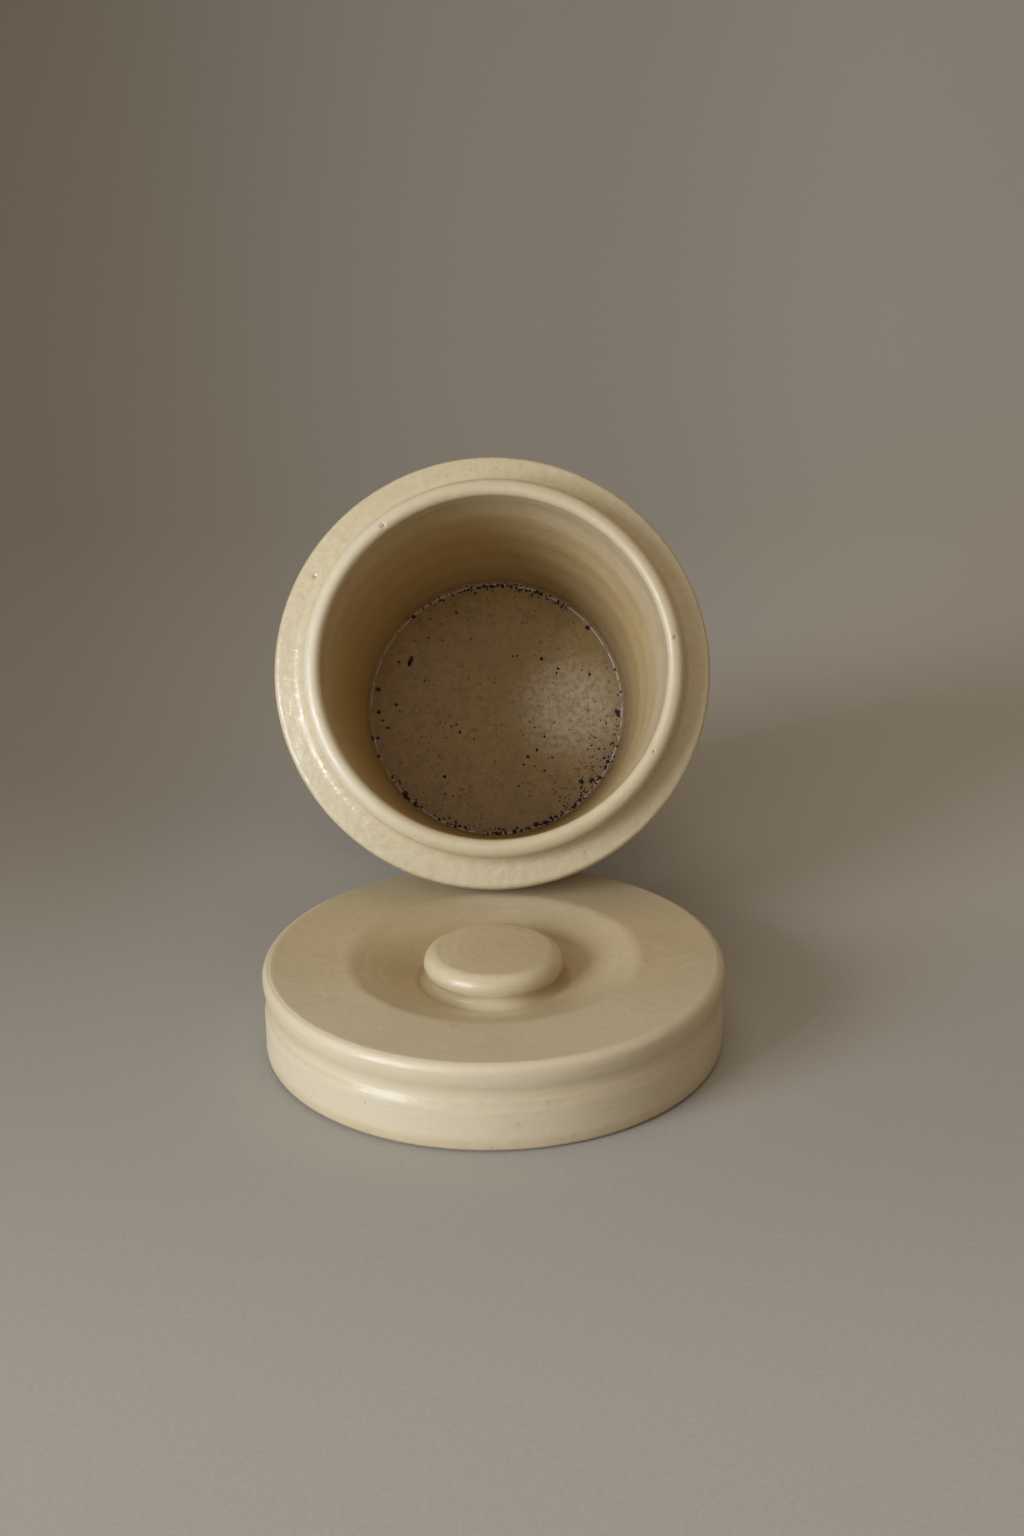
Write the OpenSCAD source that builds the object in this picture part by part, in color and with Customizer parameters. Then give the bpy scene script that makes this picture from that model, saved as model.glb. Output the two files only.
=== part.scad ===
// Stoneware jar with a flush cover lid, both glazed stoneware.
// The lid lies on the table with its knob up. The jar leans back behind it:
// its heel is on the table, its side rests on the lid's rear edge, its mouth looks forward and up.
// Millimetres, +Z up, mouth towards -Y. Origin: middle of the whole arrangement, on the table.

/* [Shared] */
// outer radius of the lid's upper roll and of the jar's shoulder roll, which lie flush when closed
outer_r = 55; // [40:0.5:80]
// outer radius of the jar's collar, which the lid's socket goes over
collar_r = 47.6; // [34:0.1:70]
// free space round the collar inside the lid's socket
socket_gap = 0.9; // [0.5:0.1:2]
// gap left between two surfaces that rest on each other
rest_gap = 0.3; // [0.1:0.05:0.5]

/* [Lid] */
// height of the lid from its rim to the land round the dish
lid_h = 21.4; // [16:0.1:32]
// rounding of the lid's top outer edge
top_round = 2.4; // [1.5:0.1:4]
// radius of the bulge below the top edge
roll_r = 9; // [6:0.1:14]
// how far the lid's lower band stands back from its roll
band_back = 0.2; // [0:0.1:1]
// height at which the lower band is widest
band_z = 9.6; // [7:0.1:11]
// radius of the band's rounded upper part
band_r = 4.5; // [3:0.1:8]
// rounding of the lid's outer bottom edge
rim_round = 1.5; // [0.4:0.1:2]
// radius of the shallow groove between the band and the bulge
groove_r = 4.5; // [3:0.1:8]
// radius of the flat land's inner edge, where the dish begins
dish_edge_r = 34.5; // [24:0.1:46]
// rounding of the dish's edge
dish_edge_round = 8; // [1:0.1:10]
// slope of the dish down towards the knob, in degrees
dish_slope = 19.5; // [12:0.5:24]

/* [Knob] */
// widest radius of the grip knob
knob_r = 16.7; // [11:0.1:24]
// height of the knob's flat top above the land
knob_rise = 2; // [0:0.1:6]
// rounding of the knob's edge
knob_round = 3.6; // [2:0.1:4]
// radius of the hollow between the knob's edge and the dish
knob_cove = 1.6; // [0.8:0.1:3]

/* [Socket] */
// free height left above the collar inside the socket
socket_over = 1.2; // [0.5:0.1:3]
// rounding of the socket's mouth, which clears the cove at the collar's foot
socket_mouth_round = 2.6; // [1:0.1:4]
// hollow rounding between the socket's wall and its ceiling
socket_corner = 1.5; // [0.5:0.1:3]

/* [Jar] */
// height of the jar from its base to its lip
jar_h = 93; // [60:0.5:160]
// thickness of the jar's floor
floor_t = 7; // [4:0.1:12]
// outer radius of the jar just above the heel
heel_body_r = 43.8; // [34:0.1:70]
// rounding of the heel
heel_round = 3; // [1:0.1:6]
// outer radius of the jar's wall where it meets the shoulder
neck_body_r = 48.2; // [36:0.1:72]
// hollow rounding under the shoulder roll
under_cove = 3; // [1:0.1:5]
// height of the shoulder roll
shoulder_h = 12.1; // [8:0.1:24]
// rounding of the shoulder roll's lower edge
shoulder_low_round = 3; // [1:0.1:5]
// rounding of the shoulder roll's upper edge
shoulder_top_round = 1.4; // [0.6:0.1:3]
// fall of the seat ledge from the collar's foot out to the edge, in degrees
ledge_fall = 10; // [0:0.5:14]
// height of the collar above the seat ledge's inner edge
collar_h = 8.3; // [5:0.1:12]
// hollow rounding at the collar's foot
collar_cove = 3.2; // [1:0.1:5]
// inner radius of the mouth
mouth_r = 43.2; // [30:0.1:66]
// rounding of the lip's inner edge; its outer edge takes the rest of the collar's thickness
lip_round = 1.8; // [0.5:0.1:2.2]
// length of the straight throat inside the mouth, up to the lip's rounding
throat_l = 8.2; // [4:0.1:16]
// inner radius just above the floor's rounded corner
floor_wall_r = 37.1; // [26:0.1:60]
// rounding of the corner between floor and wall
floor_corner = 1.5; // [1:0.1:10]

/* [Pose] */
// how far the jar's axis is turned down from upright
lean = 63.5; // [45:0.5:75]

/* [Hidden] */
$fn = 180;

// the lid's lower band, and the top edge's rounding
band_out = outer_r - band_back;
top_z = lid_h - top_round;
top_c = [outer_r - top_round, top_z];

// the groove's centre lies where its circle touches the band's rounding and the bulge
band_c = [band_out - band_r, band_z];
roll_c = [outer_r - roll_r, top_z];
groove_c = touch(band_c, band_r + groove_r, roll_c, roll_r + groove_r);
groove_top = groove_c + groove_r / (roll_r + groove_r) * (roll_c - groove_c);

// the dish is a shallow funnel; its edge rounding touches the land and the slope
dish_corner = [dish_edge_r, lid_h];
dish_in = [cos(dish_slope), sin(dish_slope)];
dish_up = [-sin(dish_slope), cos(dish_slope)];
edge_c = [dish_edge_r + dish_edge_round * tan(dish_slope / 2), lid_h - dish_edge_round];
edge_touch = edge_c + dish_edge_round * dish_up;
dish_mid_z = lid_h - dish_edge_r * tan(dish_slope);

// the knob: its edge rounding touches the cove, and the cove touches the slope
knob_z = lid_h + knob_rise;
knob_c = [knob_r - knob_round, knob_z - knob_round];
knob_off = (knob_c - dish_corner) * dish_up - knob_cove;
knob_run = sqrt(pow(knob_round + knob_cove, 2) - pow(knob_off, 2));
cove_along = (knob_c - dish_corner) * dish_in + knob_run;
cove_c = dish_corner + knob_cove * dish_up + cove_along * dish_in;
cove_touch = cove_c - knob_cove * dish_up;

socket_r = collar_r + socket_gap;
socket_d = collar_h + socket_over;

ledge_z = jar_h - collar_h;
under_z = ledge_z - shoulder_h;
lip_r = mouth_r + lip_round;
lip_out = collar_r - lip_r;
throat_z = jar_h - lip_round - throat_l;

// the seat ledge falls outwards from the end of the cove at the collar's foot;
// the cove touches the collar and the ledge, the edge rounding touches the ledge and the side
seat_r = collar_r + collar_cove;
seat_up = [sin(ledge_fall), cos(ledge_fall)];
foot_c = [seat_r, ledge_z + collar_cove / cos(ledge_fall)];
foot_touch = foot_c - collar_cove * seat_up;
rim_x = outer_r - shoulder_top_round;
rim_z = ledge_z - (rim_x - seat_r) * tan(ledge_fall) - shoulder_top_round / cos(ledge_fall);
rim_touch = [rim_x, rim_z] + shoulder_top_round * seat_up;

// the leaning jar's side line touches the heel's rounding and passes the lid's top edge
// at the resting gap; the heel's rounding centre is the place it rolls up about
heel_c = heel_body_r - heel_round;
wall_z = under_z - under_cove;
flare = atan((neck_body_r - heel_body_r) / (wall_z - heel_round));
side_a = 90 - lean - flare;
reach_out = top_round + rest_gap + heel_round + (top_z - heel_round) * cos(side_a);
hinge_from_lid = top_c[0] + reach_out / sin(side_a);
back_from_lid = hinge_from_lid + 2 * heel_c * cos(lean) + heel_round;
lid_y = -(back_from_lid - outer_r) / 2;
hinge_y = lid_y + hinge_from_lid;

stoneware = [0.78, 0.71, 0.55];
lid_ware = [0.76, 0.69, 0.53];

// the point at distance a from p and b from q, on the outer side of the line between them
function touch(p, a, q, b) =
    let (
        v = q - p,
        d = norm(v),
        t = (a * a - b * b + d * d) / (2 * d),
        h = sqrt(a * a - t * t)
    )
    p + v / d * t + [v[1], -v[0]] / d * h;

// the shoulder roll with its sloping seat ledge, and the collar with the cove at its foot
module shoulder_and_collar() {
    difference() {
        polygon([
            [0, under_z],
            [outer_r - shoulder_low_round, under_z],
            [outer_r, under_z + shoulder_low_round],
            [outer_r, rim_z],
            rim_touch,
            foot_touch,
            [collar_r, foot_c[1]],
            [collar_r, jar_h - lip_out],
            [0, jar_h - lip_out]
        ]);
        translate(foot_c) circle(collar_cove);
    }
    translate([outer_r - shoulder_low_round, under_z + shoulder_low_round]) circle(shoulder_low_round);
    translate([rim_x, rim_z]) circle(shoulder_top_round);
    translate([lip_r, jar_h - lip_out]) circle(lip_out);
}

module right_half() {
    intersection() {
        children();
        translate([0, -outer_r]) square([2 * outer_r, jar_h + 2 * outer_r]);
    }
}

// outside of the lid: band, shallow groove and bulge up to the rounded top edge
module lid_outline() {
    square([band_out - rim_round, band_z]);
    translate([0, rim_round]) square([band_out, band_z - rim_round]);
    translate([band_out - rim_round, rim_round]) circle(rim_round);
    difference() {
        union() {
            translate(band_c) circle(band_r);
            lid_bulge();
            polygon([[0, band_z], band_c, groove_c, roll_c, [0, top_z]]);
        }
        translate(groove_c) circle(groove_r);
    }
    translate([0, top_z - 1]) square([top_c[0], top_round + 1]);
    translate(top_c) circle(top_round);
}

// the part of the bulge's circle between the groove and the top edge
module lid_bulge() {
    intersection() {
        translate(roll_c) circle(roll_r);
        polygon([roll_c, groove_top, [outer_r + 1, groove_top[1]], [outer_r + 1, top_z]]);
    }
}

// the dish sunk in the lid's top
module dish_cut() {
    polygon([
        [-1, dish_mid_z - tan(dish_slope)],
        edge_touch,
        edge_c,
        [edge_c[0], lid_h + 1],
        [-1, lid_h + 1]
    ]);
}

// the land's rounded edge, which fills the corner of the cut again
module dish_edge() {
    intersection() {
        translate(edge_c) circle(dish_edge_round);
        polygon([edge_c, edge_touch, dish_corner + [0, 1], [edge_c[0], lid_h + 1]]);
    }
}

// the grip knob standing in the dish
module knob_half() {
    translate([-1, dish_mid_z - 1]) square([knob_c[0] + 1, knob_z - dish_mid_z + 1]);
    translate(knob_c) circle(knob_round);
    difference() {
        polygon([[0, dish_mid_z - 1], [cove_touch[0], dish_mid_z], cove_touch, cove_c, knob_c, [0, knob_c[1]]]);
        translate(cove_c) circle(knob_cove);
    }
}

// the socket under the lid, open downwards
module socket_cut() {
    translate([-1, -1]) square([socket_r + 1 - socket_corner, socket_d + 1]);
    translate([-1, -1]) square([socket_r + 1, socket_d + 1 - socket_corner]);
    translate([socket_r - socket_corner, socket_d - socket_corner]) circle(socket_corner);
    difference() {
        translate([socket_r - 1, -1]) square([socket_mouth_round + 1, socket_mouth_round + 1]);
        translate([socket_r + socket_mouth_round, socket_mouth_round]) circle(socket_mouth_round);
    }
}

module lid_half() {
    right_half()
    difference() {
        union() {
            difference() {
                lid_outline();
                dish_cut();
            }
            dish_edge();
            knob_half();
        }
        socket_cut();
    }
}

// outside of the jar: heel, wall, shoulder roll, seat ledge and collar
module jar_outline() {
    translate([0, 0]) square([heel_c, heel_round]);
    translate([heel_c, heel_round]) circle(heel_round);
    polygon([
        [0, heel_round],
        [heel_body_r, heel_round],
        [neck_body_r, wall_z],
        [neck_body_r, under_z + 1],
        [0, under_z + 1]
    ]);
    difference() {
        translate([neck_body_r - 1, wall_z]) square([under_cove + 1, under_cove + 1]);
        translate([neck_body_r + under_cove, wall_z]) circle(under_cove);
    }
    shoulder_and_collar();
}

// inside of the jar: floor with a rounded corner, flaring wall, straight throat and rounded lip
module hollow_cut() {
    difference() {
        hollow_sharp();
        translate([lip_r, jar_h - lip_round]) circle(lip_round);
    }
}

module hollow_sharp() {
    translate([-1, floor_t]) square([floor_wall_r - floor_corner + 1, jar_h]);
    translate([floor_wall_r - floor_corner, floor_t + floor_corner]) circle(floor_corner);
    polygon([
        [-1, floor_t + floor_corner],
        [floor_wall_r, floor_t + floor_corner],
        [mouth_r, throat_z],
        [mouth_r, jar_h - lip_round],
        [lip_r, jar_h - lip_round],
        [lip_r, jar_h + 1],
        [-1, jar_h + 1]
    ]);
}

module jar_half() {
    right_half()
    difference() {
        jar_outline();
        hollow_cut();
    }
}

module lid() {
    color(lid_ware)
    translate([0, lid_y, 0])
    rotate_extrude()
    lid_half();
}

module jar() {
    color(stoneware)
    translate([0, hinge_y, heel_round])
    rotate([lean, 0, 0])
    translate([0, heel_c, -heel_round])
    rotate_extrude()
    jar_half();
}

jar();
lid();
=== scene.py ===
"""Stoneware jar leaning open behind its flat lid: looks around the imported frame."""

import math

import bpy
import numpy as np
from mathutils import Matrix, Vector


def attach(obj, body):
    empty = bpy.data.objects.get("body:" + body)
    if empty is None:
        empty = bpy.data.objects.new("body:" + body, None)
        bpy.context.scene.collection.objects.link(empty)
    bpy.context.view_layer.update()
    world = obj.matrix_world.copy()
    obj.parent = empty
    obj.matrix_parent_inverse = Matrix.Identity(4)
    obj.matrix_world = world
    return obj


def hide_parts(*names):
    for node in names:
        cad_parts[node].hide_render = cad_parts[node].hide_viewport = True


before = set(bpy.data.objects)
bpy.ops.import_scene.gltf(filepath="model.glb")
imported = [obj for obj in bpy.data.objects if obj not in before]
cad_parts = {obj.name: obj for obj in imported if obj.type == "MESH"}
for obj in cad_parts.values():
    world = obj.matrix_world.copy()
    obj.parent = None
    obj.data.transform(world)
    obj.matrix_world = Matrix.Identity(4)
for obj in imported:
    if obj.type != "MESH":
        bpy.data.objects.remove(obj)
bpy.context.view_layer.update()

# ---------------------------------------------------------------- sizes, in mm, as in the solids

LEAN = math.radians(63.5)
HEEL_C = 40.8
HEEL_ROUND = 3.0
HINGE = Vector((0.0, 60.57984, HEEL_ROUND))
LID_Y = -44.98958

JAR_H = 93.0
MOUTH_R = 43.2
FLOOR_Z = 7.0
# the rounding where the jar's floor turns up into its wall
CORNER_R, CORNER_Z, CORNER_ROUND = 35.6, 8.5, 1.5

SOCKET_Z = 9.5
KNOB_Z = 23.4
# centres of the lid's arcs, from the rim up to the knob
BAND, BULGE, LAND_EDGE, HOLLOW, KNOB = (
    (50.3, 9.6), (46.0, 19.0), (35.8747, 13.4), (17.5386, 17.0909), (13.1, 19.8))
BAND_ROUND, BULGE_ROUND = 4.5, 9.0

# points of a turned mesh round its axis
TURNS = 360


def arc(c, r, a0, a1, step=0.4):
    """Points on a circle from angle a0 to a1, in degrees."""
    n = max(5, int(abs(math.radians(a1 - a0)) * r / step) + 1)
    return [(c[0] + r * math.cos(math.radians(a)), c[1] + r * math.sin(math.radians(a)))
            for a in np.linspace(a0, a1, n)]


def path(parts):
    """Joins points and arcs to one line; a number is the step of the straight lines after it."""
    same_point = 1e-3
    out = []
    step = 0.8
    for p in parts:
        if isinstance(p, (int, float)):
            step = p
            continue
        run = p if isinstance(p, list) else [p]
        if out:
            a, b = np.array(out[-1]), np.array(run[0])
            gap = np.linalg.norm(b - a)
            n = int(gap / step)
            out += [tuple(a + (b - a) * k / (n + 1)) for k in range(1, n + 1)]
            if gap < same_point:
                run = run[1:]
        out += run
    return np.array(out)


def touch(p, a, q, b):
    """The point at distance a from p and b from q, on the outer side."""
    p, q = np.array(p, float), np.array(q, float)
    v = q - p
    d = np.linalg.norm(v)
    t = (a * a - b * b + d * d) / (2 * d)
    h = math.sqrt(a * a - t * t)
    return p + v / d * t + np.array([v[1], -v[0]]) / d * h


def angle(c, p):
    """The direction from c to p, in degrees."""
    return math.degrees(math.atan2(p[1] - c[1], p[0] - c[0]))


def jar_profile():
    """Heel, wall, shoulder roll, sloping seat ledge, collar, lip, then down the inside."""
    return path([
        (0.0, 0.0), 2.5, (36.0, 0.0), 1.0, arc((HEEL_C, HEEL_ROUND), HEEL_ROUND, -90, 0),
        1.2, (48.2, 69.6), arc((51.2, 69.6), 3.0, 180, 90),
        0.6, arc((52.0, 75.6), 3.0, -90, 0), 0.9, arc((53.6, 82.7847), 1.4, 0, 80, 0.2),
        0.4, arc((50.8, 87.9494), 3.2, 260, 180, 0.3), 0.5, arc((45.0, 90.4), 2.6, 0, 90, 0.25),
        arc((45.0, 91.2), 1.8, 90, 180, 0.2),
        0.45, (MOUTH_R, 83.0), 0.5, (41.3, 58.0), 0.7, (CORNER_R + CORNER_ROUND, CORNER_Z),
        arc((CORNER_R, CORNER_Z), CORNER_ROUND, 0, -90, 0.2),
        0.6, (30.0, FLOOR_Z), 1.0, (0.0, FLOOR_Z)])


def lid_profile():
    """Socket ceiling and wall, rim, band, groove, bulge, land, dish and knob."""
    # the groove's arc touches the arcs of the band and the bulge
    groove = touch(BAND, 2 * BAND_ROUND, BULGE, BULGE_ROUND + BAND_ROUND)
    low, high = angle(BAND, groove), angle(BULGE, groove)
    neck = angle(HOLLOW, KNOB)
    return path([
        (0.0, SOCKET_Z), 2.0, arc((47.0, 8.0), 1.5, 90, 0), 0.8, arc((51.1, 2.6), 2.6, 180, 270),
        0.6, arc((53.3, 1.5), 1.5, -90, 0, 0.25), 0.7, arc(BAND, BAND_ROUND, 0, low, 0.3),
        arc(groove, BAND_ROUND, low + 180, high + 180, 0.3), arc(BULGE, BULGE_ROUND, high, 0, 0.3),
        arc((52.6, 19.0), 2.4, 0, 90, 0.25), 0.7, arc(LAND_EDGE, 8.0, 90, 109.5, 0.3),
        0.7, arc(HOLLOW, 1.6, 289.5, neck, 0.2), arc(KNOB, 3.6, neck - 180, 90, 0.25),
        0.8, (0.0, KNOB_Z)])


def add_mesh(name, verts, faces):
    """A smooth-shaded mesh object, linked to the scene."""
    mesh = bpy.data.meshes.new(name)
    mesh.from_pydata(verts, [], faces)
    mesh.validate()
    mesh.update()
    for p in mesh.polygons:
        p.use_smooth = True
    obj = bpy.data.objects.new(name, mesh)
    bpy.context.scene.collection.objects.link(obj)
    return obj


def lathe(name, prof, shape):
    """A turned mesh in metres; shape(r, z, nr, nz, a) gives each point's place in mm."""
    d = np.gradient(prof, axis=0)
    d /= np.linalg.norm(d, axis=1)[:, None] + 1e-9
    nr, nz = d[1:-1, 1, None], -d[1:-1, 0, None]
    inner = prof[1:-1]
    a = np.linspace(0, 2 * math.pi, TURNS, endpoint=False)[None, :]
    r, z = inner[:, 0][:, None] + 0 * a, inner[:, 1][:, None] + 0 * a
    x, y, zz = shape(r, z, nr, nz, a + 0 * r)
    pts = np.stack([x, y, zz], -1).reshape(-1, 3)
    ends = [(0.0, 0.0, float(zz[row].mean())) for row in (0, -1)]
    verts = np.concatenate([pts, np.array(ends)]) / 1000.0
    rows = len(inner)
    faces = []
    for i in range(rows - 1):
        for j in range(TURNS):
            k = (j + 1) % TURNS
            faces.append((i * TURNS + j, i * TURNS + k, (i + 1) * TURNS + k, (i + 1) * TURNS + j))
    first, last = rows * TURNS, rows * TURNS + 1
    for j in range(TURNS):
        k = (j + 1) % TURNS
        faces.append((first, k, j))
        faces.append((last, (rows - 1) * TURNS + j, (rows - 1) * TURNS + k))
    return add_mesh(name, verts.tolist(), faces)


# ---------------------------------------------------------------- forms


def wander(t, seed, terms=5):
    """A smooth, repeatable wave of about -1 to 1 in t (radians), made of a few sines."""
    out = np.zeros_like(t)
    for k in range(1, terms + 1):
        out += np.sin(k * t + seed * (1.7 * k + 0.9)) / k
    return out / 1.6


def wave(v, length, turn=0.0):
    """A sine along v, length long, turned by an angle."""
    return np.sin(2 * math.pi * v / length + turn)


def rise(v, start, length):
    """0 up to start, then up to 1 over length."""
    return np.clip((v - start) / length, 0, 1)


def fall(v, end, length):
    """Down to 0 at end, over length."""
    return np.clip((end - v) / length, 0, 1)


def jar_shape(r, z, nr, nz, a):
    """Throwing waves inside, faint turning marks outside and a slightly uneven lip."""
    depth = JAR_H - z
    broad = 0.10 * wave(depth - 17.5, 16.0, 0.35 * wander(a, 2.0)) * (1 + 0.5 * wander(a, 5.2, 3))
    rings = 0.014 * wave(depth, 5.1, a + 0.5 * wander(a, 4.4))
    fine = 0.004 * wave(depth, 1.9, 2 * a + 0.6 * np.sin(depth / 5.3))
    inside = (nr < -0.7) & (r < 43.4)
    d = np.where(inside, rise(depth, 2.5, 4.0) * rise(z, 9.0, 8.0) * (broad + rings + fine), 0.0)
    marks = wave(z, 3.1, a) + 1.2 * wave(z, 13.0, 0.4 * wander(a, 6.1))
    wall = (z < 71.0) & (nr > 0.5)
    # 2.2 is the marks' own height, so that they only cut inwards
    d = np.where(wall, 0.035 * rise(z, 5.0, 6.0) * fall(z, 70.0, 4.0) * (marks - 2.2), d)
    swirl = 0.010 * wave(r, 6.3, a + 0.5 * wander(a, 1.1))
    floor_top = (z < 7.5) & (z > 6.0) & (r < 35.0)
    d = np.where(floor_top, swirl * rise(r, 0.0, 6.0) * fall(r, 35.0, 9.0), d)
    rr = r + nr * d
    zz = z + nz * d
    # out of round by up to 0.24%, inside the solid's reach
    rr = rr * (0.99975 - 0.0012 * (1 + wander(a, 1.3, 3)) * rise(z, 0.0, 20.0))
    zz = zz - 0.10 * rise(z, 70.0, 10.0) * (1 + wander(a, 3.1, 4))
    # the collar sits a little to one side of the shoulder
    aside = 0.50 * rise(z, 68.0, 18.0) * fall(r, 50.6, 3.0)
    return rr * np.cos(a) + aside, rr * np.sin(a), zz


def lid_shape(r, z, nr, nz, a):
    """A turned lid: a smooth land and dish, a slightly crowned knob, an uneven side."""
    d = -0.05 * (1 + wander(a, 4.2, 3)) * rise(z, 3.0, 4.0) * (nz > -0.5)
    side = (nr > 0.3) & (r > 50.0)
    d = d - np.where(side, 0.03 * (1 + wander(a + z / 9.0, 7.7, 6)), 0.0)
    land = (nz > 0.9) & (z > 20.0) & (r > 30.0)
    d = d - np.where(land, 0.05 * (1 + wander(a, 9.3, 4)), 0.0)
    knob_top = (z > 22.9) & (r < 13.5)
    curl = 0.022 * (1 + wave(r, 2.7, -a))
    d = d - np.where(knob_top, curl * rise(r, 0.0, 3.0) * fall(r, 13.5, 2.0), 0.0)
    knob = (z > 19.8) & (r < 16.8)
    d = d - np.where(knob, 0.28 * rise(r, 7.0, 6.0) ** 2 * nz, 0.0)
    rr = r + nr * d
    return rr * np.cos(a), rr * np.sin(a), z + nz * d


JAR_AT = (Matrix.Translation(HINGE / 1000) @ Matrix.Rotation(LEAN, 4, "X")
          @ Matrix.Translation(Vector((0, HEEL_C, -HEEL_ROUND)) / 1000))
LID_AT = Matrix.Translation(Vector((0, LID_Y, 0)) / 1000)

jar = lathe("jar_body", jar_profile(), jar_shape)
jar.data.transform(JAR_AT)
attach(jar, "jar")
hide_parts("jar")

lid = lathe("lid_body", lid_profile(), lid_shape)
lid.data.transform(LID_AT)
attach(lid, "lid")
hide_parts("lid")

# ---------------------------------------------------------------- residue on the jar's floor

# x, y and width of the listed dark crumbs, in mm
CRUMBS = (
    (-24.5, 14.3, 1.13), (-24.9, 13.3, 1.13), (-24.4, 14.9, 0.82), (-28.0, 13.7, 0.51),
    (-11.3, 28.1, 0.62), (-23.8, 27.0, 1.03), (-26.2, 27.6, 0.41), (-7.1, 20.4, 0.41),
    (-19.3, 20.8, 0.41), (-23.2, 19.9, 0.31), (-15.3, 19.7, 0.31), (-20.7, 8.2, 0.46),
    (-33.9, 5.9, 1.03), (-28.8, 1.4, 0.72), (-33.8, -0.7, 0.82), (-32.8, -3.1, 0.51),
    (-36.0, -8.4, 0.93), (-34.1, -8.1, 0.72), (-31.3, -5.3, 0.62), (-34.8, -13.8, 0.82),
    (-13.0, -5.0, 0.46), (-11.5, -4.5, 0.46), (-10.6, -6.8, 0.67), (-6.6, -8.8, 0.41),
    (-15.0, -19.5, 0.72), (-12.7, -25.2, 0.41), (-14.9, -24.5, 0.41), (-26.4, -24.4, 1.34),
    (-26.2, -25.4, 1.24), (-25.3, -26.0, 0.82), (-23.5, -27.6, 0.93), (-22.8, -28.0, 0.62),
    (-16.6, -31.8, 0.72), (-18.0, -30.6, 0.41), (-14.3, -33.0, 0.51), (-12.0, -34.0, 0.72),
    (-0.3, -36.0, 0.93), (0.7, -36.2, 0.93), (2.3, -36.0, 0.62), (4.9, -35.6, 1.03),
    (6.9, -35.2, 0.72), (8.9, -34.6, 0.72), (11.0, -33.5, 1.13), (13.8, -33.0, 1.03),
    (15.3, -31.6, 0.72), (16.7, -31.4, 0.72), (18.4, -30.0, 0.51), (19.1, -28.3, 0.41),
    (22.3, -28.0, 0.82), (23.7, -26.7, 0.93), (24.2, -21.3, 1.13), (27.1, -20.8, 0.93),
    (29.5, -20.2, 0.82), (24.0, -23.1, 0.51), (27.2, -23.0, 0.46), (31.2, -17.1, 0.72),
    (31.8, -15.5, 0.72), (29.3, -11.9, 0.51), (34.7, -1.3, 1.13), (34.9, -2.2, 0.93),
    (26.5, 23.2, 1.03), (26.9, 9.7, 0.62), (17.9, 11.4, 0.62), (17.4, 10.1, 0.51),
    (13.1, 14.3, 0.77), (4.9, 15.1, 0.41), (6.1, 15.2, 0.41), (11.5, -12.0, 0.67),
    (8.9, -14.0, 0.72), (7.7, -16.3, 0.62), (10.8, -16.8, 0.41), (15.9, -14.3, 0.51),
    (13.6, -18.0, 0.51), (13.7, -8.3, 0.51), (6.3, -22.4, 0.46), (11.0, -5.6, 0.41),
    (-1.0, 35.6, 0.9), (0.8, 35.9, 0.8), (2.1, 35.6, 0.7), (4.6, 35.3, 0.8), (-3.4, 35.7, 0.8),
    (-5.2, 35.2, 0.5), (6.1, 35.2, 0.6), (11.6, 33.7, 0.7), (13.2, 33.2, 0.8), (18.2, 31.0, 0.6),
    (-8.0, 34.6, 0.5), (-10.2, 34.0, 0.4), (20.3, 29.5, 0.5))
# how many more are scattered along the corner, at its lower right and over the floor
CORNER_CRUMBS, RIGHT_CRUMBS, FLOOR_CRUMBS = 260, 110, 240
# the widest circle that a crumb's middle keeps to
CRUMB_REACH = 36.6


def crumb_spots(rng):
    """x, y, width and height share of every crumb, in mm."""
    spots = [(x, y, 1.3 * w + 0.1, 1.0) for x, y, w in CRUMBS]

    def scatter(a, r, width, high):
        spots.append((r * math.cos(a), r * math.sin(a), width, high))

    for _ in range(CORNER_CRUMBS):
        # most at the bottom of the corner, some at its top, a few all round
        choices = (rng.uniform(-2.7, -0.2), rng.uniform(0.9, 2.2), rng.uniform(0, 6.28))
        a = rng.choice(choices, p=(0.5, 0.35, 0.15))
        r = CORNER_R + rng.normal(0, 0.7)
        scatter(a, r, rng.uniform(0.3, 0.85), 0.8)
    for _ in range(RIGHT_CRUMBS):
        a, r = rng.uniform(-1.0, -0.1), rng.uniform(27.5, 36.0)
        scatter(a, r, rng.uniform(0.22, 0.55), 0.7)
    for _ in range(FLOOR_CRUMBS):
        a, r = rng.uniform(0, 2 * math.pi), 34.0 * math.sqrt(rng.uniform(0, 1))
        scatter(a, r, rng.uniform(0.18, 0.40), 0.6)
    return spots


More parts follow.
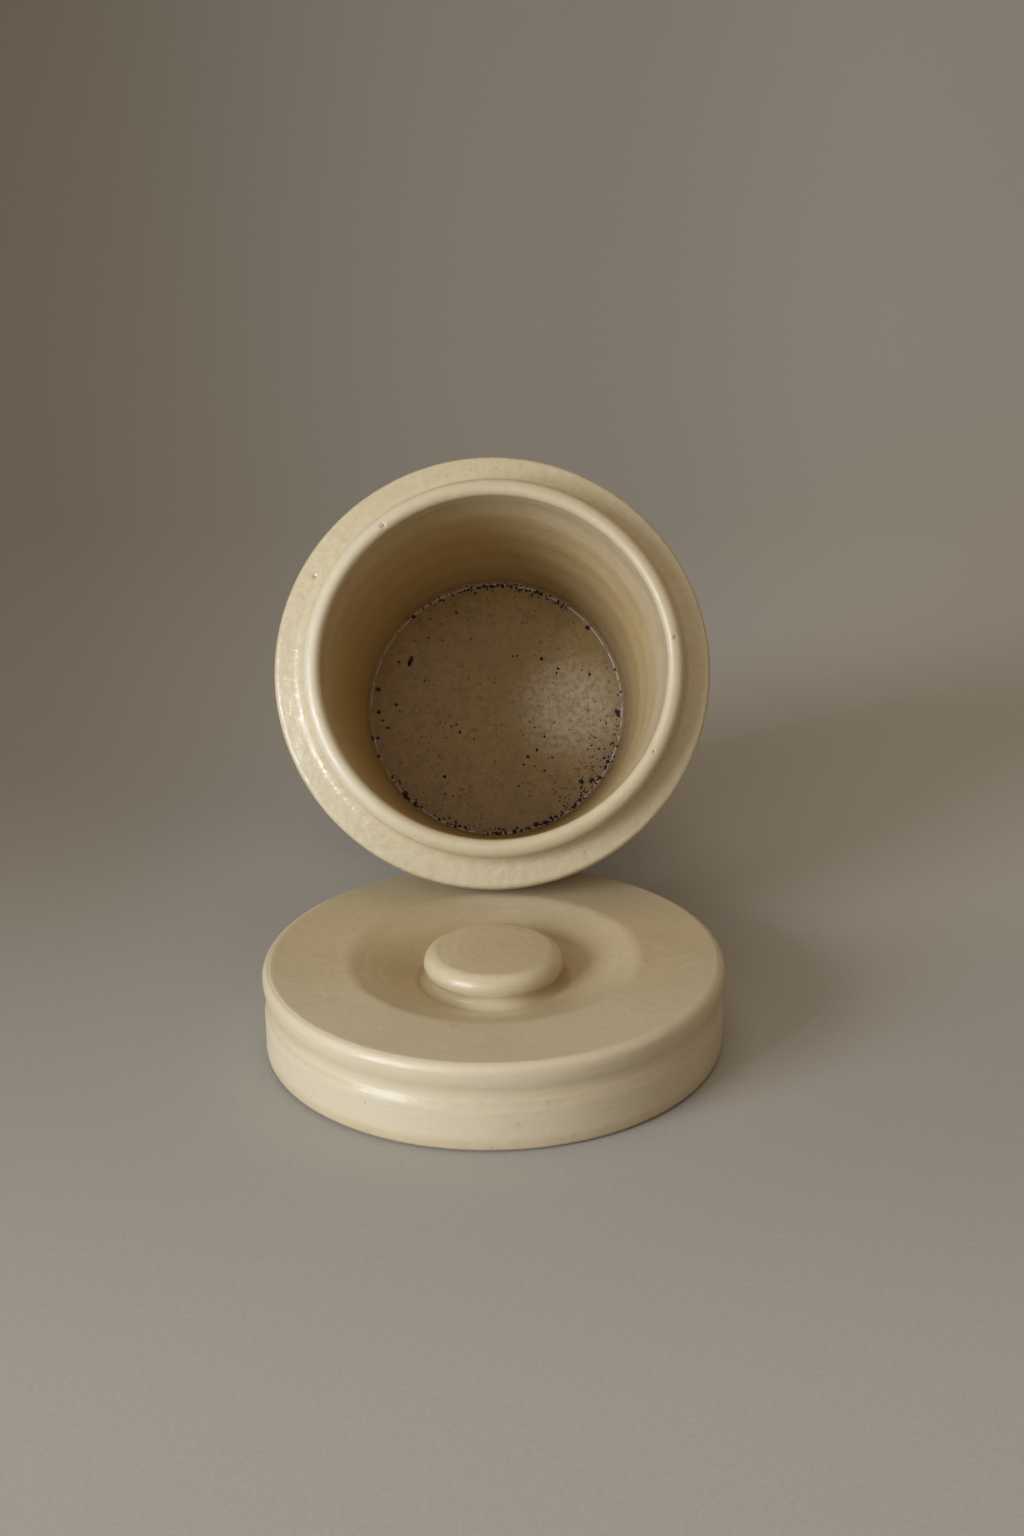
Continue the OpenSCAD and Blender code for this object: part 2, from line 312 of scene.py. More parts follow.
def crumbs():
    """Small hard crumbs of dark residue: lumpy closed bits sunk a little in the glaze."""
    rng = np.random.RandomState(11)
    verts, faces = [], []
    rings, sides = 4, 9
    for x, y, w, high in crumb_spots(rng):
        r = math.hypot(x, y)
        if r > CRUMB_REACH:
            x, y, r = x * CRUMB_REACH / r, y * CRUMB_REACH / r, CRUMB_REACH
        lift = FLOOR_Z
        if r > CORNER_R:
            lift = CORNER_Z - math.sqrt(max(0.0, CORNER_ROUND ** 2 - (r - CORNER_R) ** 2))
        turn, stretch = rng.uniform(0, math.pi), rng.uniform(1.0, 1.25)
        skew = rng.uniform(0.75, 1.25, sides)
        base = len(verts)
        for i in range(rings):
            t = math.pi * (i + 1) / (rings + 1)
            for j in range(sides):
                q = 2 * math.pi * j / sides
                h = 0.5 * w * math.sin(t) * (0.7 * skew[j] + 0.3 * rng.uniform(0.8, 1.2))
                u, v = h * stretch * math.cos(q), h / stretch * math.sin(q)
                verts.append((x + u * math.cos(turn) - v * math.sin(turn),
                              y + u * math.sin(turn) + v * math.cos(turn),
                              lift + 0.30 * w * high * math.cos(t) * rng.uniform(0.8, 1.1)))
        top, bottom = len(verts), len(verts) + 1
        for way in (1, -1):
            verts.append((x, y, lift + 0.32 * w * high * way))
        for i in range(rings - 1):
            for j in range(sides):
                k = (j + 1) % sides
                p = base + i * sides
                faces.append((p + j, p + sides + j, p + sides + k, p + k))
        for j in range(sides):
            k = (j + 1) % sides
            p = base + (rings - 1) * sides
            faces.append((top, base + j, base + k))
            faces.append((bottom, p + k, p + j))
    return add_mesh("jar_residue", (np.array(verts) / 1000).tolist(), faces)


residue = crumbs()
residue.data.transform(JAR_AT)
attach(residue, "jar")

# ---------------------------------------------------------------- materials

# linear colours of the glaze, the bare clay and the iron in them
PALE = (0.586, 0.488, 0.316)
WARM = (0.550, 0.452, 0.282)
OLIVE = (0.512, 0.415, 0.250)
CLAY = (0.415, 0.325, 0.225)
CLAY_DARK = (0.36, 0.275, 0.185)
IRON = (0.085, 0.050, 0.028)
IRON_SOFT = (0.33, 0.22, 0.12)
PIT_EDGE = (0.40, 0.29, 0.17)
# the jar's inside, floor and lip; the floor's paler patch and the lip's pale left side are painted
# light, and the corner line is partly a painted highlight
WISP = (0.66, 0.44, 0.245)
FILM = (0.37, 0.262, 0.110)
MOTTLE = (0.270, 0.190, 0.080)
FLOOR_LIT_PATCH = (0.700, 0.600, 0.425)
CORNER_BAND_DARK = (0.270, 0.185, 0.130)
SMEAR = (0.235, 0.170, 0.165)
CORNER_LINE = (0.80, 0.74, 0.66)
LIP_LIT_SIDE = (0.720, 0.640, 0.485)
# the lid; its pale front, dish front and lower band are painted light
LID_FRONT_LIT = (0.665, 0.570, 0.400)
DISH_FRONT_LIT = (0.760, 0.665, 0.475)
BAND_LIT = (0.680, 0.600, 0.445)
EDGE_PALE = (0.72, 0.63, 0.46)
LID_PIT = (0.16, 0.10, 0.06)
SPOT_GREY = (0.36, 0.31, 0.24)
# roughness of unglazed clay, of dull glaze and of the ledge's shiny patches
BARE_ROUGH, DULL_ROUGH, SHINY_ROUGH = 0.85, 0.80, 0.20


class Nodes:
    """Small helper to wire a material's nodes."""

    def __init__(self, name, place=None):
        self.mat = bpy.data.materials.new(name)
        self.mat.use_nodes = True
        self.t = self.mat.node_tree
        self.t.nodes.clear()
        self.out = self.t.nodes.new("ShaderNodeOutputMaterial")
        self.bsdf = self.t.nodes.new("ShaderNodeBsdfPrincipled")
        self.link(self.bsdf.outputs[0], self.out.inputs[0])
        self.co = self.t.nodes.new("ShaderNodeTexCoord").outputs["Object"]
        if place is not None:
            # the turned piece's own upright axes, from where it lies
            n = self.t.nodes.new("ShaderNodeMapping")
            n.vector_type = "TEXTURE"
            n.inputs["Location"].default_value = place.to_translation()
            n.inputs["Rotation"].default_value = place.to_euler("XYZ")
            self.link(self.co, n.inputs["Vector"])
            self.co = n.outputs[0]

    def link(self, a, b):
        self.t.links.new(a, b)

    def put(self, sock, v):
        """Links a socket, or sets it where v is a number."""
        if isinstance(v, bpy.types.NodeSocket):
            self.link(v, sock)
        else:
            sock.default_value = v

    def math(self, op, a, b=0.0):
        n = self.t.nodes.new("ShaderNodeMath")
        n.operation = op
        self.put(n.inputs[0], a)
        self.put(n.inputs[1], b)
        return n.outputs[0]

    def times(self, *values):
        """The product of masks and numbers."""
        out = values[0]
        for v in values[1:]:
            out = self.math("MULTIPLY", out, v)
        return out

    def noise(self, scale, detail=2.0, rough=0.5, vec=None):
        n = self.t.nodes.new("ShaderNodeTexNoise")
        n.inputs["Scale"].default_value = scale
        n.inputs["Detail"].default_value = detail
        n.inputs["Roughness"].default_value = rough
        self.link(vec if vec is not None else self.co, n.inputs["Vector"])
        return n.outputs[0]

    def voronoi(self, scale, vec):
        n = self.t.nodes.new("ShaderNodeTexVoronoi")
        n.inputs["Scale"].default_value = scale
        self.link(vec, n.inputs["Vector"])
        return n.outputs["Distance"], n.outputs["Color"]

    def span(self, v, a, b, c=0.0, d=1.0, smooth=True):
        """Maps v from a..b to c..d, held at the ends."""
        n = self.t.nodes.new("ShaderNodeMapRange")
        n.interpolation_type = "SMOOTHSTEP" if smooth else "LINEAR"
        for key, val in (("Value", v), ("From Min", a), ("From Max", b),
                         ("To Min", c), ("To Max", d)):
            self.put(n.inputs[key], val)
        return n.outputs["Result"]

    def reach(self, v, a, b, c=0.0, d=1.0):
        """Maps a length v from a..b mm to c..d, smoothly."""
        return self.span(v, a / 1000, b / 1000, c, d)

    def band(self, v, a, b, soft):
        """1 while a length v is between a and b mm, with soft edges of soft mm."""
        return self.times(self.reach(v, a - soft, a + soft),
                          self.reach(v, b - soft, b + soft, 1.0, 0.0))

    def mix(self, f, a, b, kind="MIX"):
        n = self.t.nodes.new("ShaderNodeMix")
        n.data_type = "RGBA"
        n.blend_type = kind
        self.put(n.inputs["Factor"], f)
        for sock, v in ((n.inputs[6], a), (n.inputs[7], b)):
            self.put(sock, (*v, 1.0) if isinstance(v, tuple) else v)
        return n.outputs[2]

    def split(self, vec):
        n = self.t.nodes.new("ShaderNodeSeparateXYZ")
        self.link(vec, n.inputs[0])
        return n.outputs

    def join(self, x, y, z):
        n = self.t.nodes.new("ShaderNodeCombineXYZ")
        for i, v in enumerate((x, y, z)):
            self.put(n.inputs[i], v)
        return n.outputs[0]

    def distance(self, p):
        """Distance in metres from local point p (mm)."""
        n = self.t.nodes.new("ShaderNodeVectorMath")
        n.operation = "DISTANCE"
        self.link(self.co, n.inputs[0])
        n.inputs[1].default_value = tuple(v / 1000 for v in p)
        return n.outputs["Value"]

    def near(self, p, r0, r1):
        """1 within r0 mm of local point p (mm), falling to 0 at r1."""
        return self.reach(self.distance(p), r0, r1, 1.0, 0.0)

    def bump(self, height, dist, strength=1.0, below=None):
        n = self.t.nodes.new("ShaderNodeBump")
        n.inputs["Strength"].default_value = strength
        n.inputs["Distance"].default_value = dist
        self.link(height, n.inputs["Height"])
        if below is not None:
            self.link(below, n.inputs["Normal"])
        return n.outputs[0]


class Glaze(Nodes):
    """Cream stoneware glaze: clouds, mottling, iron specks, pits and a soft orange peel."""

    def __init__(self, name, place, seed):
        super().__init__(name, place)
        self.x, self.y, self.z = self.split(self.co)
        self.r = self.math("SQRT", self.math("ADD", self.times(self.x, self.x),
                                             self.times(self.y, self.y)))
        # the noises' own coordinates, so that jar and lid differ
        shifted = self.t.nodes.new("ShaderNodeVectorMath")
        shifted.operation = "ADD"
        self.link(self.co, shifted.inputs[0])
        shifted.inputs[1].default_value = (seed, 0.31 * seed, -0.7 * seed)
        self.v = shifted.outputs[0]
        col = self.mix(self.cloud(38.0, 3.0, 0.55, 0.30, 0.72), WARM, PALE)
        col = self.mix(self.cloud(420.0, 3.0, 0.65, 0.32, 0.70, 0.0, 0.50), col, OLIVE)
        self.col = self.specks(col, 330.0, 0.86, 0.05, 0.15, 0.45, IRON_SOFT)
        self.rough = self.cloud(150.0, 2.0, 0.5, 0.3, 0.7, 0.38, 0.54)
        self.bsdf.inputs["Coat Weight"].default_value = 0.20
        self.bsdf.inputs["Coat Roughness"].default_value = 0.14
        self.bsdf.inputs["Coat IOR"].default_value = 1.5
        # mask and height in metres of each mark that stands up or is sunk in
        self.high = []

    def cloud(self, scale, detail, rough, a, b, c=0.0, d=1.0):
        """Noise in the glaze's own coordinates, mapped from a..b to c..d."""
        return self.span(self.noise(scale, detail, rough, self.v), a, b, c, d)

    def wobble(self, v, scale, detail, height):
        """v, made uneven by noise of a height in metres."""
        return self.math("ADD", v, self.times(self.noise(scale, detail, 0.5, self.v), height))

    def tint(self, mask, depth, colour):
        """Mixes a colour into the glaze, depth deep where the mask is 1."""
        self.col = self.mix(self.times(mask, depth), self.col, colour)

    def darken(self, mask, depth, colour):
        """Multiplies the glaze by a colour, depth deep where the mask is 1."""
        self.col = self.mix(self.times(mask, depth), self.col, colour, "MULTIPLY")

    def polish(self, mask, rough):
        """Sets the roughness where the mask is 1."""
        self.rough = self.mix(mask, self.rough, (rough, rough, rough))

    def specks(self, col, scale, share, small, large, depth, tint, mask=None):
        """Round specks of mixed sizes over col, in a share of the cells of one scale."""
        dist, pick = self.voronoi(scale, self.v)
        few = self.span(self.split(pick)[0], share, share + 0.03)
        size = self.span(self.split(pick)[1], 0.0, 1.0, small, large, False)
        inside = self.span(self.math("SUBTRACT", size, dist), 0.0, 0.05)
        f = self.times(few, inside, depth)
        if mask is not None:
            f = self.times(f, mask)
        return self.mix(f, col, tint)

    def stain(self, p, r0, r1, depth, tint):
        """A spot at local point p (mm), ragged where its edge follows the mottling."""
        ragged = self.cloud(900.0, 3.0, 0.6, 0.40, 0.58)
        self.tint(self.times(self.near(p, r0, r1), ragged), depth, tint)

    def pit(self, p, size, depth=0.85, tint=IRON):
        """A small open pit or chip, size mm wide, with a dark bottom and a stained edge."""
        d = self.wobble(self.distance(p), 900.0, 2.0, size * 0.0009)
        core = self.span(d, size * 0.0006, size * 0.0010, 1.0, 0.0)
        halo = self.span(d, size * 0.0009, size * 0.0017, 1.0, 0.0)
        self.tint(halo, 0.35, PIT_EDGE)
        self.tint(core, depth, tint)
        self.high.append((halo, -0.00025 * size))

    def clay(self):
        """The colour of unglazed clay."""
        return self.mix(self.cloud(300.0, 4.0, 0.7, 0.35, 0.65), CLAY_DARK, CLAY)

    def bare(self, mask, clay):
        """Shows clay, without glaze, where the mask is 1."""
        self.col = self.mix(mask, self.col, clay)
        self.polish(mask, BARE_ROUGH)

    def close(self, peel, streak):
        """Links colour, roughness and bumps.

        peel scales the orange peel, and streak the marks of turning.
        """
        self.link(self.col, self.bsdf.inputs["Base Color"])
        self.link(self.rough, self.bsdf.inputs["Roughness"])
        b = self.bump(self.times(self.noise(330.0, 2.0, 0.45, self.v), peel), 0.00025)
        b = self.bump(self.noise(900.0, 2.0, 0.5, self.v), 0.00005, 0.6, b)
        along = self.join(self.x, self.y, self.times(self.z, 7.0))
        b = self.bump(self.noise(120.0, 3.0, 0.55, along), 0.00022, streak, b)
        total = 0.0
        for mask, height in self.high:
            total = self.math("ADD", total, self.times(mask, height * 1000.0))
        b = self.bump(total, 0.001, 1.0, b)
        self.link(b, self.bsdf.inputs["Normal"])
        self.link(b, self.bsdf.inputs["Coat Normal"])
        return self.mat


# local point of each pit, and its width, in mm
JAR_PITS = (
    ((-26.8, 35.5, 92.9), 0.85), ((45.4, 6.6, 92.9), 0.6), ((39.8, -21.8, 92.9), 0.55),
    ((-44.6, 24.2, 84.7), 0.75), ((23.0, -46.2, 84.7), 0.5), ((18.0, -48.5, 84.6), 0.3),
    ((-12.5, 45.6, 92.4), 0.3), ((30.0, 41.5, 84.7), 0.35), ((-5.0, 51.5, 84.6), 0.3))
LID_PITS = (
    ((-12.0, 30.4, 20.2), 0.45), ((28.2, 15.2, 18.9), 0.35), ((26.4, 21.0, 19.6), 0.35),
    ((6.1, 10.4, 23.3), 0.45), ((-28.0, -47.1, 8.5), 0.40), ((34.0, 28.0, 21.3), 0.30),
    ((-47.0, 6.0, 21.3), 0.28), ((12.0, -44.0, 21.3), 0.26), ((43.0, -33.5, 12.0), 0.30))
# local point, inner and outer radius in mm, depth and colour of each stain
JAR_STAINS = (
    ((29.1, -16.5, 7.3), 1.6, 5.2, 0.55, (0.36, 0.19, 0.24)),
    ((31.5, -13.0, 8.0), 1.0, 4.0, 0.40, (0.30, 0.17, 0.22)),
    ((35.0, -2.0, 9.0), 0.8, 3.2, 0.60, (0.13, 0.08, 0.11)),
    ((-36.4, -8.6, 8.0), 0.4, 2.4, 0.55, (0.16, 0.11, 0.09)))
LID_STAINS = (
    ((-36.7, -22.4, 21.3), 0.3, 2.6, 0.45, SPOT_GREY),
    ((-8.4, -35.6, 21.3), 0.3, 2.0, 0.45, SPOT_GREY),
    ((24.9, -12.3, 17.5), 0.3, 3.4, 0.45, (0.42, 0.34, 0.23)),
    ((5.9, -54.5, 6.4), 0.3, 1.8, 0.45, (0.42, 0.33, 0.22)))


def jar_inside(m, inner):
    """Tints, wisps, film, stains and a darker corner band of the jar's inner wall and floor, with
    painted shade deeper down and on the wall's lower side, a painted pool of light on the floor
    and a painted highlight on the corner line.
    """
    # painted shade: the inside darker and warmer deeper down
    m.darken(m.times(inner, m.reach(m.z, 90.0, 50.0)), 0.9, (0.90, 0.775, 0.55))
    # warm wisps under the lip, stronger on the right
    wisp = m.noise(55.0, 3.0, 0.6, m.join(m.x, m.y, m.times(m.z, 3.5)))
    m.tint(m.times(inner, m.band(m.z, 62.0, 88.0, 5.0), m.span(wisp, 0.50, 0.72),
                   m.reach(m.x, -20.0, 30.0, 0.35, 1.0)), 0.45, WISP)
    # painted shade: the wall darker on its lower side, towards -y
    under = m.times(inner, m.band(m.z, 9.0, 90.0, 2.0), m.reach(m.y, -22.0, -39.0))
    m.darken(under, 0.8, (0.76, 0.71, 0.66))
    # the floor: a dull brown film, mottling, and a paler patch right of the middle that is painted
    # light
    floor_top = m.times(inner, m.reach(m.z, 7.8, 9.2, 1.0, 0.0))
    m.tint(m.times(floor_top, m.cloud(70.0, 4.0, 0.6, 0.38, 0.72)), 0.50, FILM)
    m.darken(floor_top, 1.0, (0.88, 0.80, 0.58))
    m.polish(floor_top, DULL_ROUGH)
    m.tint(m.times(floor_top, m.cloud(520.0, 3.0, 0.65, 0.42, 0.66)), 0.55, MOTTLE)
    # painted light: a paler pool right of the floor's middle
    m.tint(m.times(floor_top, m.near((21.0, 0.0, FLOOR_Z), 4.0, 20.0),
                   m.cloud(600.0, 3.0, 0.6, 0.34, 0.62, 0.35, 1.0)), 0.90, FLOOR_LIT_PATCH)
    # a darker band in the corner, and fine upright smears above it, strongest on the right
    m.tint(m.times(inner, m.band(m.z, 5.0, 11.5, 2.0), m.reach(m.r, 32.5, 36.0),
                   m.cloud(120.0, 3.0, 0.6, 0.34, 0.66, 0.25, 1.0)), 0.42, CORNER_BAND_DARK)
    smear = m.noise(700.0, 2.0, 0.6, m.join(m.x, m.y, m.times(m.z, 0.06)))
    m.tint(m.times(inner, m.band(m.z, 8.5, 21.0, 3.0), m.reach(m.x, -10.0, 34.0, 0.12, 1.0),
                   m.span(smear, 0.52, 0.66)), 0.40, SMEAR)
    m.col = m.specks(m.col, 520.0, 0.45, 0.10, 0.28, 0.65, (0.14, 0.085, 0.045), floor_top)
    m.col = m.specks(m.col, 1300.0, 0.50, 0.14, 0.36, 0.55, (0.19, 0.120, 0.065),
                     m.times(inner, m.reach(m.z, 10.0, 22.0, 1.0, 0.0)))
    for spot in JAR_STAINS:
        m.stain(*spot)
    # the glaze breaks pale on the line where the floor turns up; the line's brightening towards
    # the right is a painted highlight
    uneven_r = m.wobble(m.r, 160.0, 2.0, 0.0007)
    line = m.times(inner, m.band(uneven_r, 36.15, 36.52, 0.10), m.reach(m.z, 9.0, 10.0, 1.0, 0.0),
                   m.cloud(260.0, 2.0, 0.6, 0.36, 0.50), m.reach(m.x, -36.0, 30.0, 0.65, 1.0))
    m.tint(line, 0.85, CORNER_LINE)
    m.high.append((line, 0.00012))


def jar_glaze():
    """The jar's glaze, with its inside, lip, ledge and bare foot."""
    m = Glaze("jar_glaze", JAR_AT, 0.0)
    # inside is where the radius is less than the middle of the wall
    mid_wall = m.span(m.z, 0.0085, 0.0696, 0.0406, 0.0452, False)
    inner = m.times(m.math("LESS_THAN", m.r, mid_wall), m.math("GREATER_THAN", m.z, 0.0045))
    jar_inside(m, inner)
    # chips and pits on the lip, ledge and shoulder
    for p, size in JAR_PITS:
        m.pit(p, size)
    # bare foot: glaze wiped off the base and the heel's lower curve, on an uneven line
    foot = m.reach(m.wobble(m.z, 60.0, 3.0, -0.0018), 0.4, 0.9, 1.0, 0.0)
    m.bare(foot, m.specks(m.clay(), 800.0, 0.80, 0.10, 0.30, 0.7, (0.13, 0.08, 0.05)))
    # shiny patches on the ledge, painted light on the lip's left side, specks on both
    ledge = m.times(m.band(m.z, 82.0, 89.5, 0.8), m.reach(m.r, 46.5, 48.5))
    m.polish(m.times(ledge, m.cloud(430.0, 3.0, 0.6, 0.50, 0.60)), SHINY_ROUGH)
    off_wall = m.reach(m.r, 42.5, 43.5)
    # painted light: the lip's left side, towards the lamp, paler
    m.tint(m.times(m.reach(m.z, 89.5, 91.5), off_wall, m.reach(m.x, -8.0, -38.0)), 0.38, LIP_LIT_SIDE)
    m.col = m.specks(m.col, 1100.0, 0.72, 0.10, 0.30, 0.32, (0.30, 0.21, 0.12),
                     m.times(m.reach(m.z, 80.0, 83.0), off_wall))
    return m.close(m.span(ledge, 0.0, 1.0, 0.30, 1.0, False), 0.25)


def lid_glaze():
    """The lid's glaze, with its land, dish, knob, side and bare rim."""
    m = Glaze("lid_glaze", LID_AT, 1.7)
    m.darken(1.0, 0.55, (0.975, 0.945, 0.885))
    m.col = m.specks(m.col, 900.0, 0.80, 0.12, 0.34, 0.34, (0.30, 0.205, 0.115))
    # what lies over the socket's ceiling, and of that what lies in the dish
    upper = m.reach(m.z, 11.5, 12.5)
    dish = m.times(upper, m.reach(m.z, 19.5, 17.5))
    # painted shade in the dish round the knob and in the groove; the hollow round the knob holds
    # darker pooled glaze with painted shade on top
    m.darken(m.times(m.band(m.r, 15.0, 27.0, 4.0), dish), 0.55, (0.86, 0.79, 0.67))
    cove = m.times(m.band(m.r, 14.2, 18.4, 0.7), m.band(m.z, 14.8, 18.3, 0.5))
    m.darken(cove, 0.62, (0.72, 0.68, 0.52))
    groove = m.times(m.reach(m.r, 51.0, 53.0), m.band(m.z, 12.6, 14.8, 0.9))
    m.darken(groove, 0.35, (0.88, 0.83, 0.72))
    # painted light on the front, on the dish's front and on the lower band; painted shade on the
    # dish's left side
    m.tint(m.times(m.reach(m.y, 4.0, -40.0), upper), 0.55, LID_FRONT_LIT)
    m.tint(m.times(m.near((0.0, -24.0, 14.0), 5.0, 15.0), dish), 0.75, DISH_FRONT_LIT)
    m.tint(m.times(m.reach(m.r, 51.0, 53.5), m.band(m.z, 3.0, 11.0, 1.0)), 0.45, BAND_LIT)
    # painted shade: the dish's left side, turned from the light, darker
    left = m.times(m.near((-28.0, 3.0, 18.0), 5.0, 15.0), m.reach(m.z, 20.8, 19.8), upper)
    m.darken(left, 0.55, (0.82, 0.77, 0.66))
    m.polish(cove, DULL_ROUGH)
    # the edges where the glaze thins and breaks lighter: the land's, and the knob's on the right
    thin = m.times(m.band(m.r, 52.6, 54.6, 0.5), m.band(m.z, 20.2, 21.6, 0.4))
    brim = m.times(m.band(m.r, 14.4, 16.2, 0.6), m.band(m.z, 20.6, 23.2, 0.6),
                   m.reach(m.x, -4.0, 10.0))
    m.tint(m.math("MAXIMUM", thin, brim), 0.35, EDGE_PALE)
    for p, size in LID_PITS:
        m.pit(p, size, 0.6, LID_PIT)
    for spot in LID_STAINS:
        m.stain(*spot)
    # bare rim and socket mouth, where the lid stood in the kiln
    line = m.reach(m.wobble(m.z, 70.0, 3.0, -0.0012), 0.0, 0.3, 1.0, 0.0)
    m.bare(m.times(line, m.math("GREATER_THAN", m.r, 0.0475)), m.clay())
    return m.close(0.28, 0.55)


def dark_residue():
    """Matt, nearly black crumbs with a hint of purple."""
    m = Nodes("residue", JAR_AT)
    patches = m.span(m.noise(900.0), 0.35, 0.65)
    col = m.mix(patches, (0.012, 0.007, 0.011), (0.050, 0.027, 0.042))
    m.link(col, m.bsdf.inputs["Base Color"])
    m.link(m.span(m.noise(1500.0), 0.3, 0.7, 0.60, 0.90), m.bsdf.inputs["Roughness"])
    m.link(m.bump(m.noise(2500.0, 3.0, 0.6), 0.00008), m.bsdf.inputs["Normal"])
    return m.mat


def dress(obj, mat):
    """Gives an object its one material."""
    obj.data.materials.clear()
    obj.data.materials.append(mat)


dress(jar, jar_glaze())
dress(lid, lid_glaze())
dress(residue, dark_residue())

# ---------------------------------------------------------------- floor and backdrop, in metres

# the flat floor runs in y from SHEET_FRONT to SHEET_BEND and then curves up to SHEET_TOP
SHEET_FRONT, SHEET_BEND, SHEET_TOP = -3.0, 0.45, 4.0
BEND_R = 1.6
SHEET_HALF_WIDTH = 3.5
# the world as camera, glossy and transmission rays see it, and as it lights the scene
SURROUND = (0.235, 0.205, 0.170)
WORLD_LIGHT = (0.012, 0.010, 0.008)


def sweep():
    """A floor that curves up into a backdrop, in one sheet."""
    prof = [(SHEET_FRONT, 0.0), (SHEET_BEND, 0.0)]
    prof += [(SHEET_BEND + BEND_R * math.sin(t), BEND_R - BEND_R * math.cos(t))
             for t in np.linspace(0.02, math.pi / 2, 40)]
    prof += [(SHEET_BEND + BEND_R, SHEET_TOP)]
    verts, faces = [], []
    for y, z in prof:
        verts += [(-SHEET_HALF_WIDTH, y, z), (SHEET_HALF_WIDTH, y, z)]
    for i in range(len(prof) - 1):
        faces.append((2 * i, 2 * i + 1, 2 * i + 3, 2 * i + 2))
    return add_mesh("sweep", verts, faces)


def seen_rays(tree):
    """1 for camera, glossy and transmission rays, which see the surroundings, and 0 for light."""
    ray = tree.nodes.new("ShaderNodeLightPath")
    out = ray.outputs["Is Camera Ray"]
    for key in ("Is Glossy Ray", "Is Transmission Ray"):
        n = tree.nodes.new("ShaderNodeMath")
        n.operation = "MAXIMUM"
        tree.links.new(out, n.inputs[0])
        tree.links.new(ray.outputs[key], n.inputs[1])
        out = n.outputs[0]
    return out


def paper():
    """Grey paper, with painted shade behind on the left and painted light behind on the right and
    in front.
    """
    m = Nodes("paper")
    x, y, _ = m.split(m.co)
    # how far aside, seen from about where the photograph was taken
    aside = m.math("DIVIDE", x, m.math("ADD", y, 0.6))
    # painted light behind on the right and painted shade behind on the left
    lit_behind_right = m.times(m.span(aside, 0.02, 0.18), m.span(y, -0.05, 0.13))
    shaded_behind_left = m.times(m.span(aside, 0.03, -0.24), m.span(y, -0.13, 0.16))
    col = m.mix(lit_behind_right, (0.438, 0.412, 0.370), (0.540, 0.512, 0.468))
    # painted light: paler in front
    col = m.mix(m.span(y, -0.07, -0.20), col, (0.515, 0.487, 0.437))
    col = m.mix(shaded_behind_left, col, (0.270, 0.226, 0.172))
    grain = m.span(m.noise(900.0, 3.0, 0.7), 0.25, 0.75)
    col = m.mix(grain, col, (0.90, 0.90, 0.90), "MULTIPLY")
    m.link(col, m.bsdf.inputs["Base Color"])
    m.bsdf.inputs["Roughness"].default_value = 0.9
    # far from the object, outside the photograph's frame, it runs out into the surroundings
    far = m.math("MAXIMUM", m.math("ABSOLUTE", x), m.times(y, -1.0))
    # there the sheet glows an unlit flat colour for camera and glossy rays: a painted glow, no
    # lamp
    glow = m.t.nodes.new("ShaderNodeEmission")
    glow.inputs["Color"].default_value = (*SURROUND, 1.0)
    blend = m.t.nodes.new("ShaderNodeMixShader")
    m.link(m.times(m.span(far, 0.9, 2.2), seen_rays(m.t)), blend.inputs[0])
    m.link(m.bsdf.outputs[0], blend.inputs[1])
    m.link(glow.outputs[0], blend.inputs[2])
    m.link(blend.outputs[0], m.out.inputs[0])
    return m.mat


floor = sweep()
dress(floor, paper())

# ---------------------------------------------------------------- light and camera, in metres

TARGET = Vector((0, 0, 0.03))


def lamp(name, pos, size, power, colour):
    """A rectangular lamp at pos that points at the target."""
    data = bpy.data.lights.new(name, "AREA")
    data.shape = "RECTANGLE"
    data.size, data.size_y = size
    data.energy = power
    data.color = colour
    obj = bpy.data.objects.new(name, data)
    obj.location = pos
    obj.rotation_euler = (TARGET - Vector(pos)).to_track_quat("-Z", "Y").to_euler()
    bpy.context.scene.collection.objects.link(obj)


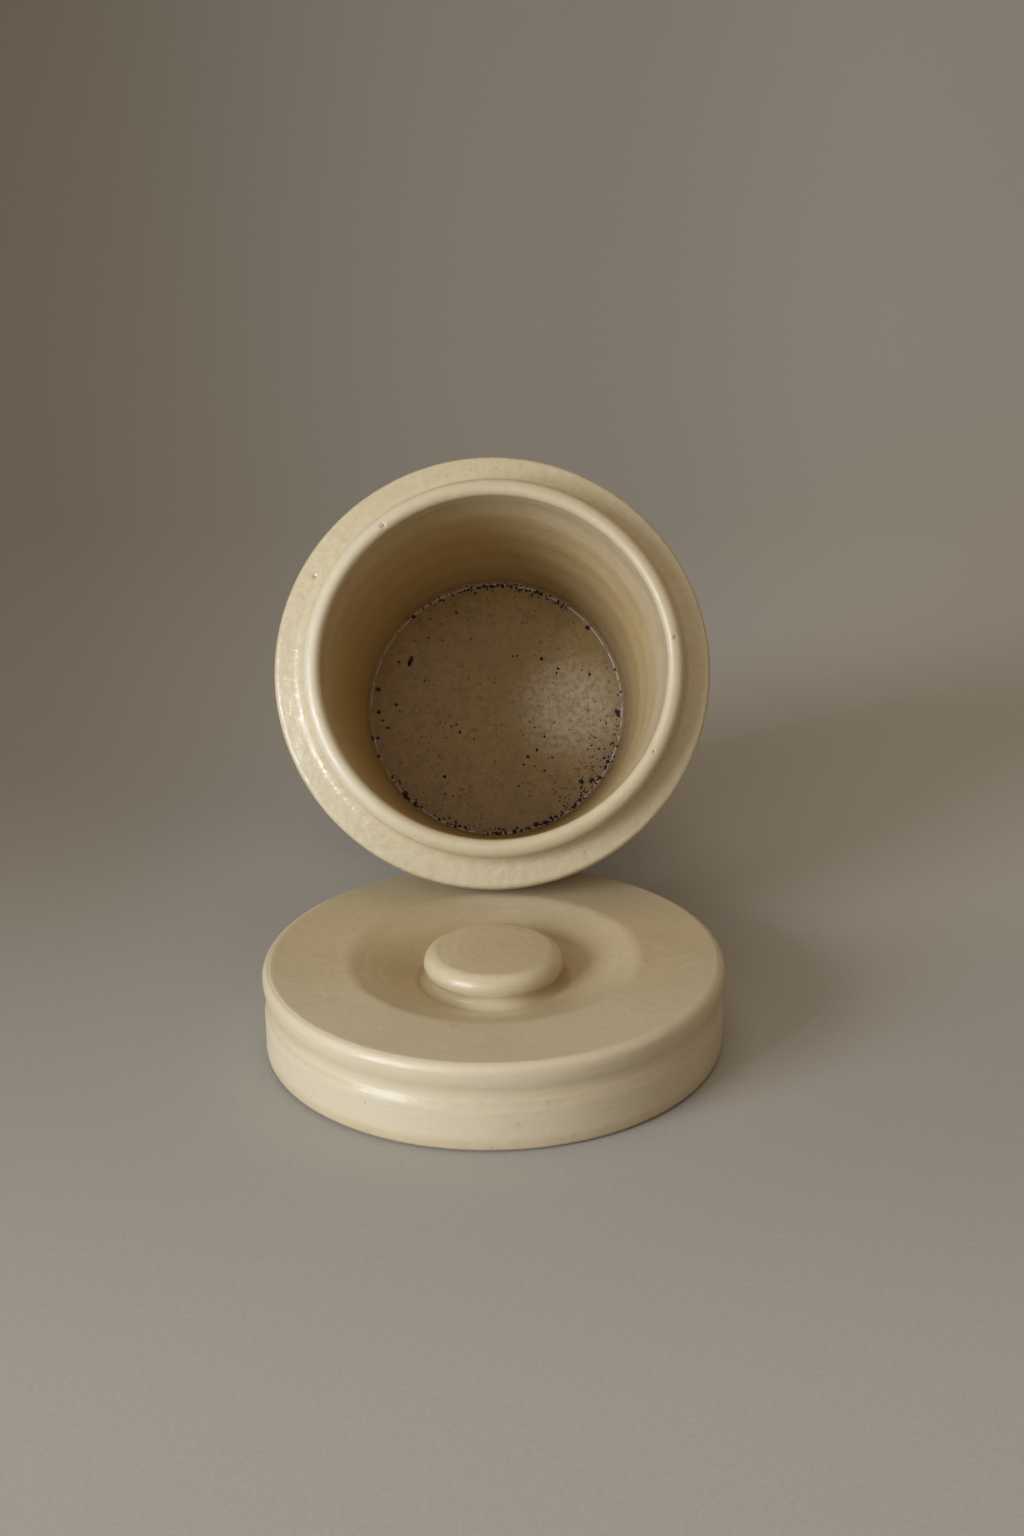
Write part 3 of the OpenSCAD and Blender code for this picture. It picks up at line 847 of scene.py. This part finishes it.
def toward(azimuth, elevation):
    """A point 1.6 m from the target, azimuth degrees round from the front to the left."""
    a, e = math.radians(azimuth), math.radians(elevation)
    away = 1.6
    return (-math.sin(a) * math.cos(e) * away, -math.cos(a) * math.cos(e) * away,
            math.sin(e) * away + TARGET.z)


lamp("window", toward(50, 14), (0.75, 0.85), 26.5, (0.835, 0.90, 1.0))
lamp("window_far", toward(20, 28), (1.3, 1.1), 4.6, (0.93, 0.95, 1.0))
lamp("ceiling", (0, 0, 1.63), (1.4, 1.4), 6.2, (1.0, 0.84, 0.60))
lamp("rear", toward(180, 50), (1.3, 1.3), 1.4, (1.0, 0.86, 0.66))
lamp("room", toward(-60, 30), (1.4, 1.4), 3.8, (1.0, 0.75, 0.52))

world = bpy.data.worlds.new("studio")
bpy.context.scene.world = world
world.use_nodes = True
background = world.node_tree.nodes["Background"]
shade = world.node_tree.nodes.new("ShaderNodeMix")
shade.data_type = "RGBA"
shade.inputs[6].default_value = (*WORLD_LIGHT, 1.0)
shade.inputs[7].default_value = (*SURROUND, 1.0)
world.node_tree.links.new(seen_rays(world.node_tree), shade.inputs["Factor"])
world.node_tree.links.new(shade.outputs[2], background.inputs[0])
background.inputs[1].default_value = 1.0

PITCH, YAW, ROLL = math.radians(20.92), math.radians(-0.34), math.radians(-0.70)
CAMERA_AT = Vector((0.0077, LID_Y / 1000 - 0.4588, 0.2443))
forward = Vector((math.sin(YAW) * math.cos(PITCH), math.cos(YAW) * math.cos(PITCH),
                  -math.sin(PITCH)))
level = Vector((math.cos(YAW), -math.sin(YAW), 0.0))
upright = level.cross(forward)
right = math.cos(ROLL) * level + math.sin(ROLL) * upright
above = -math.sin(ROLL) * level + math.cos(ROLL) * upright
camera_data = bpy.data.cameras.new("view")
camera_data.sensor_width = 36.0
camera_data.lens = 50.0
camera = bpy.data.objects.new("view", camera_data)
place = Matrix((right, above, -forward)).transposed().to_4x4()
place.translation = CAMERA_AT
camera.matrix_world = place
bpy.context.scene.collection.objects.link(camera)
bpy.context.scene.camera = camera

bpy.context.scene.view_settings.view_transform = "Standard"
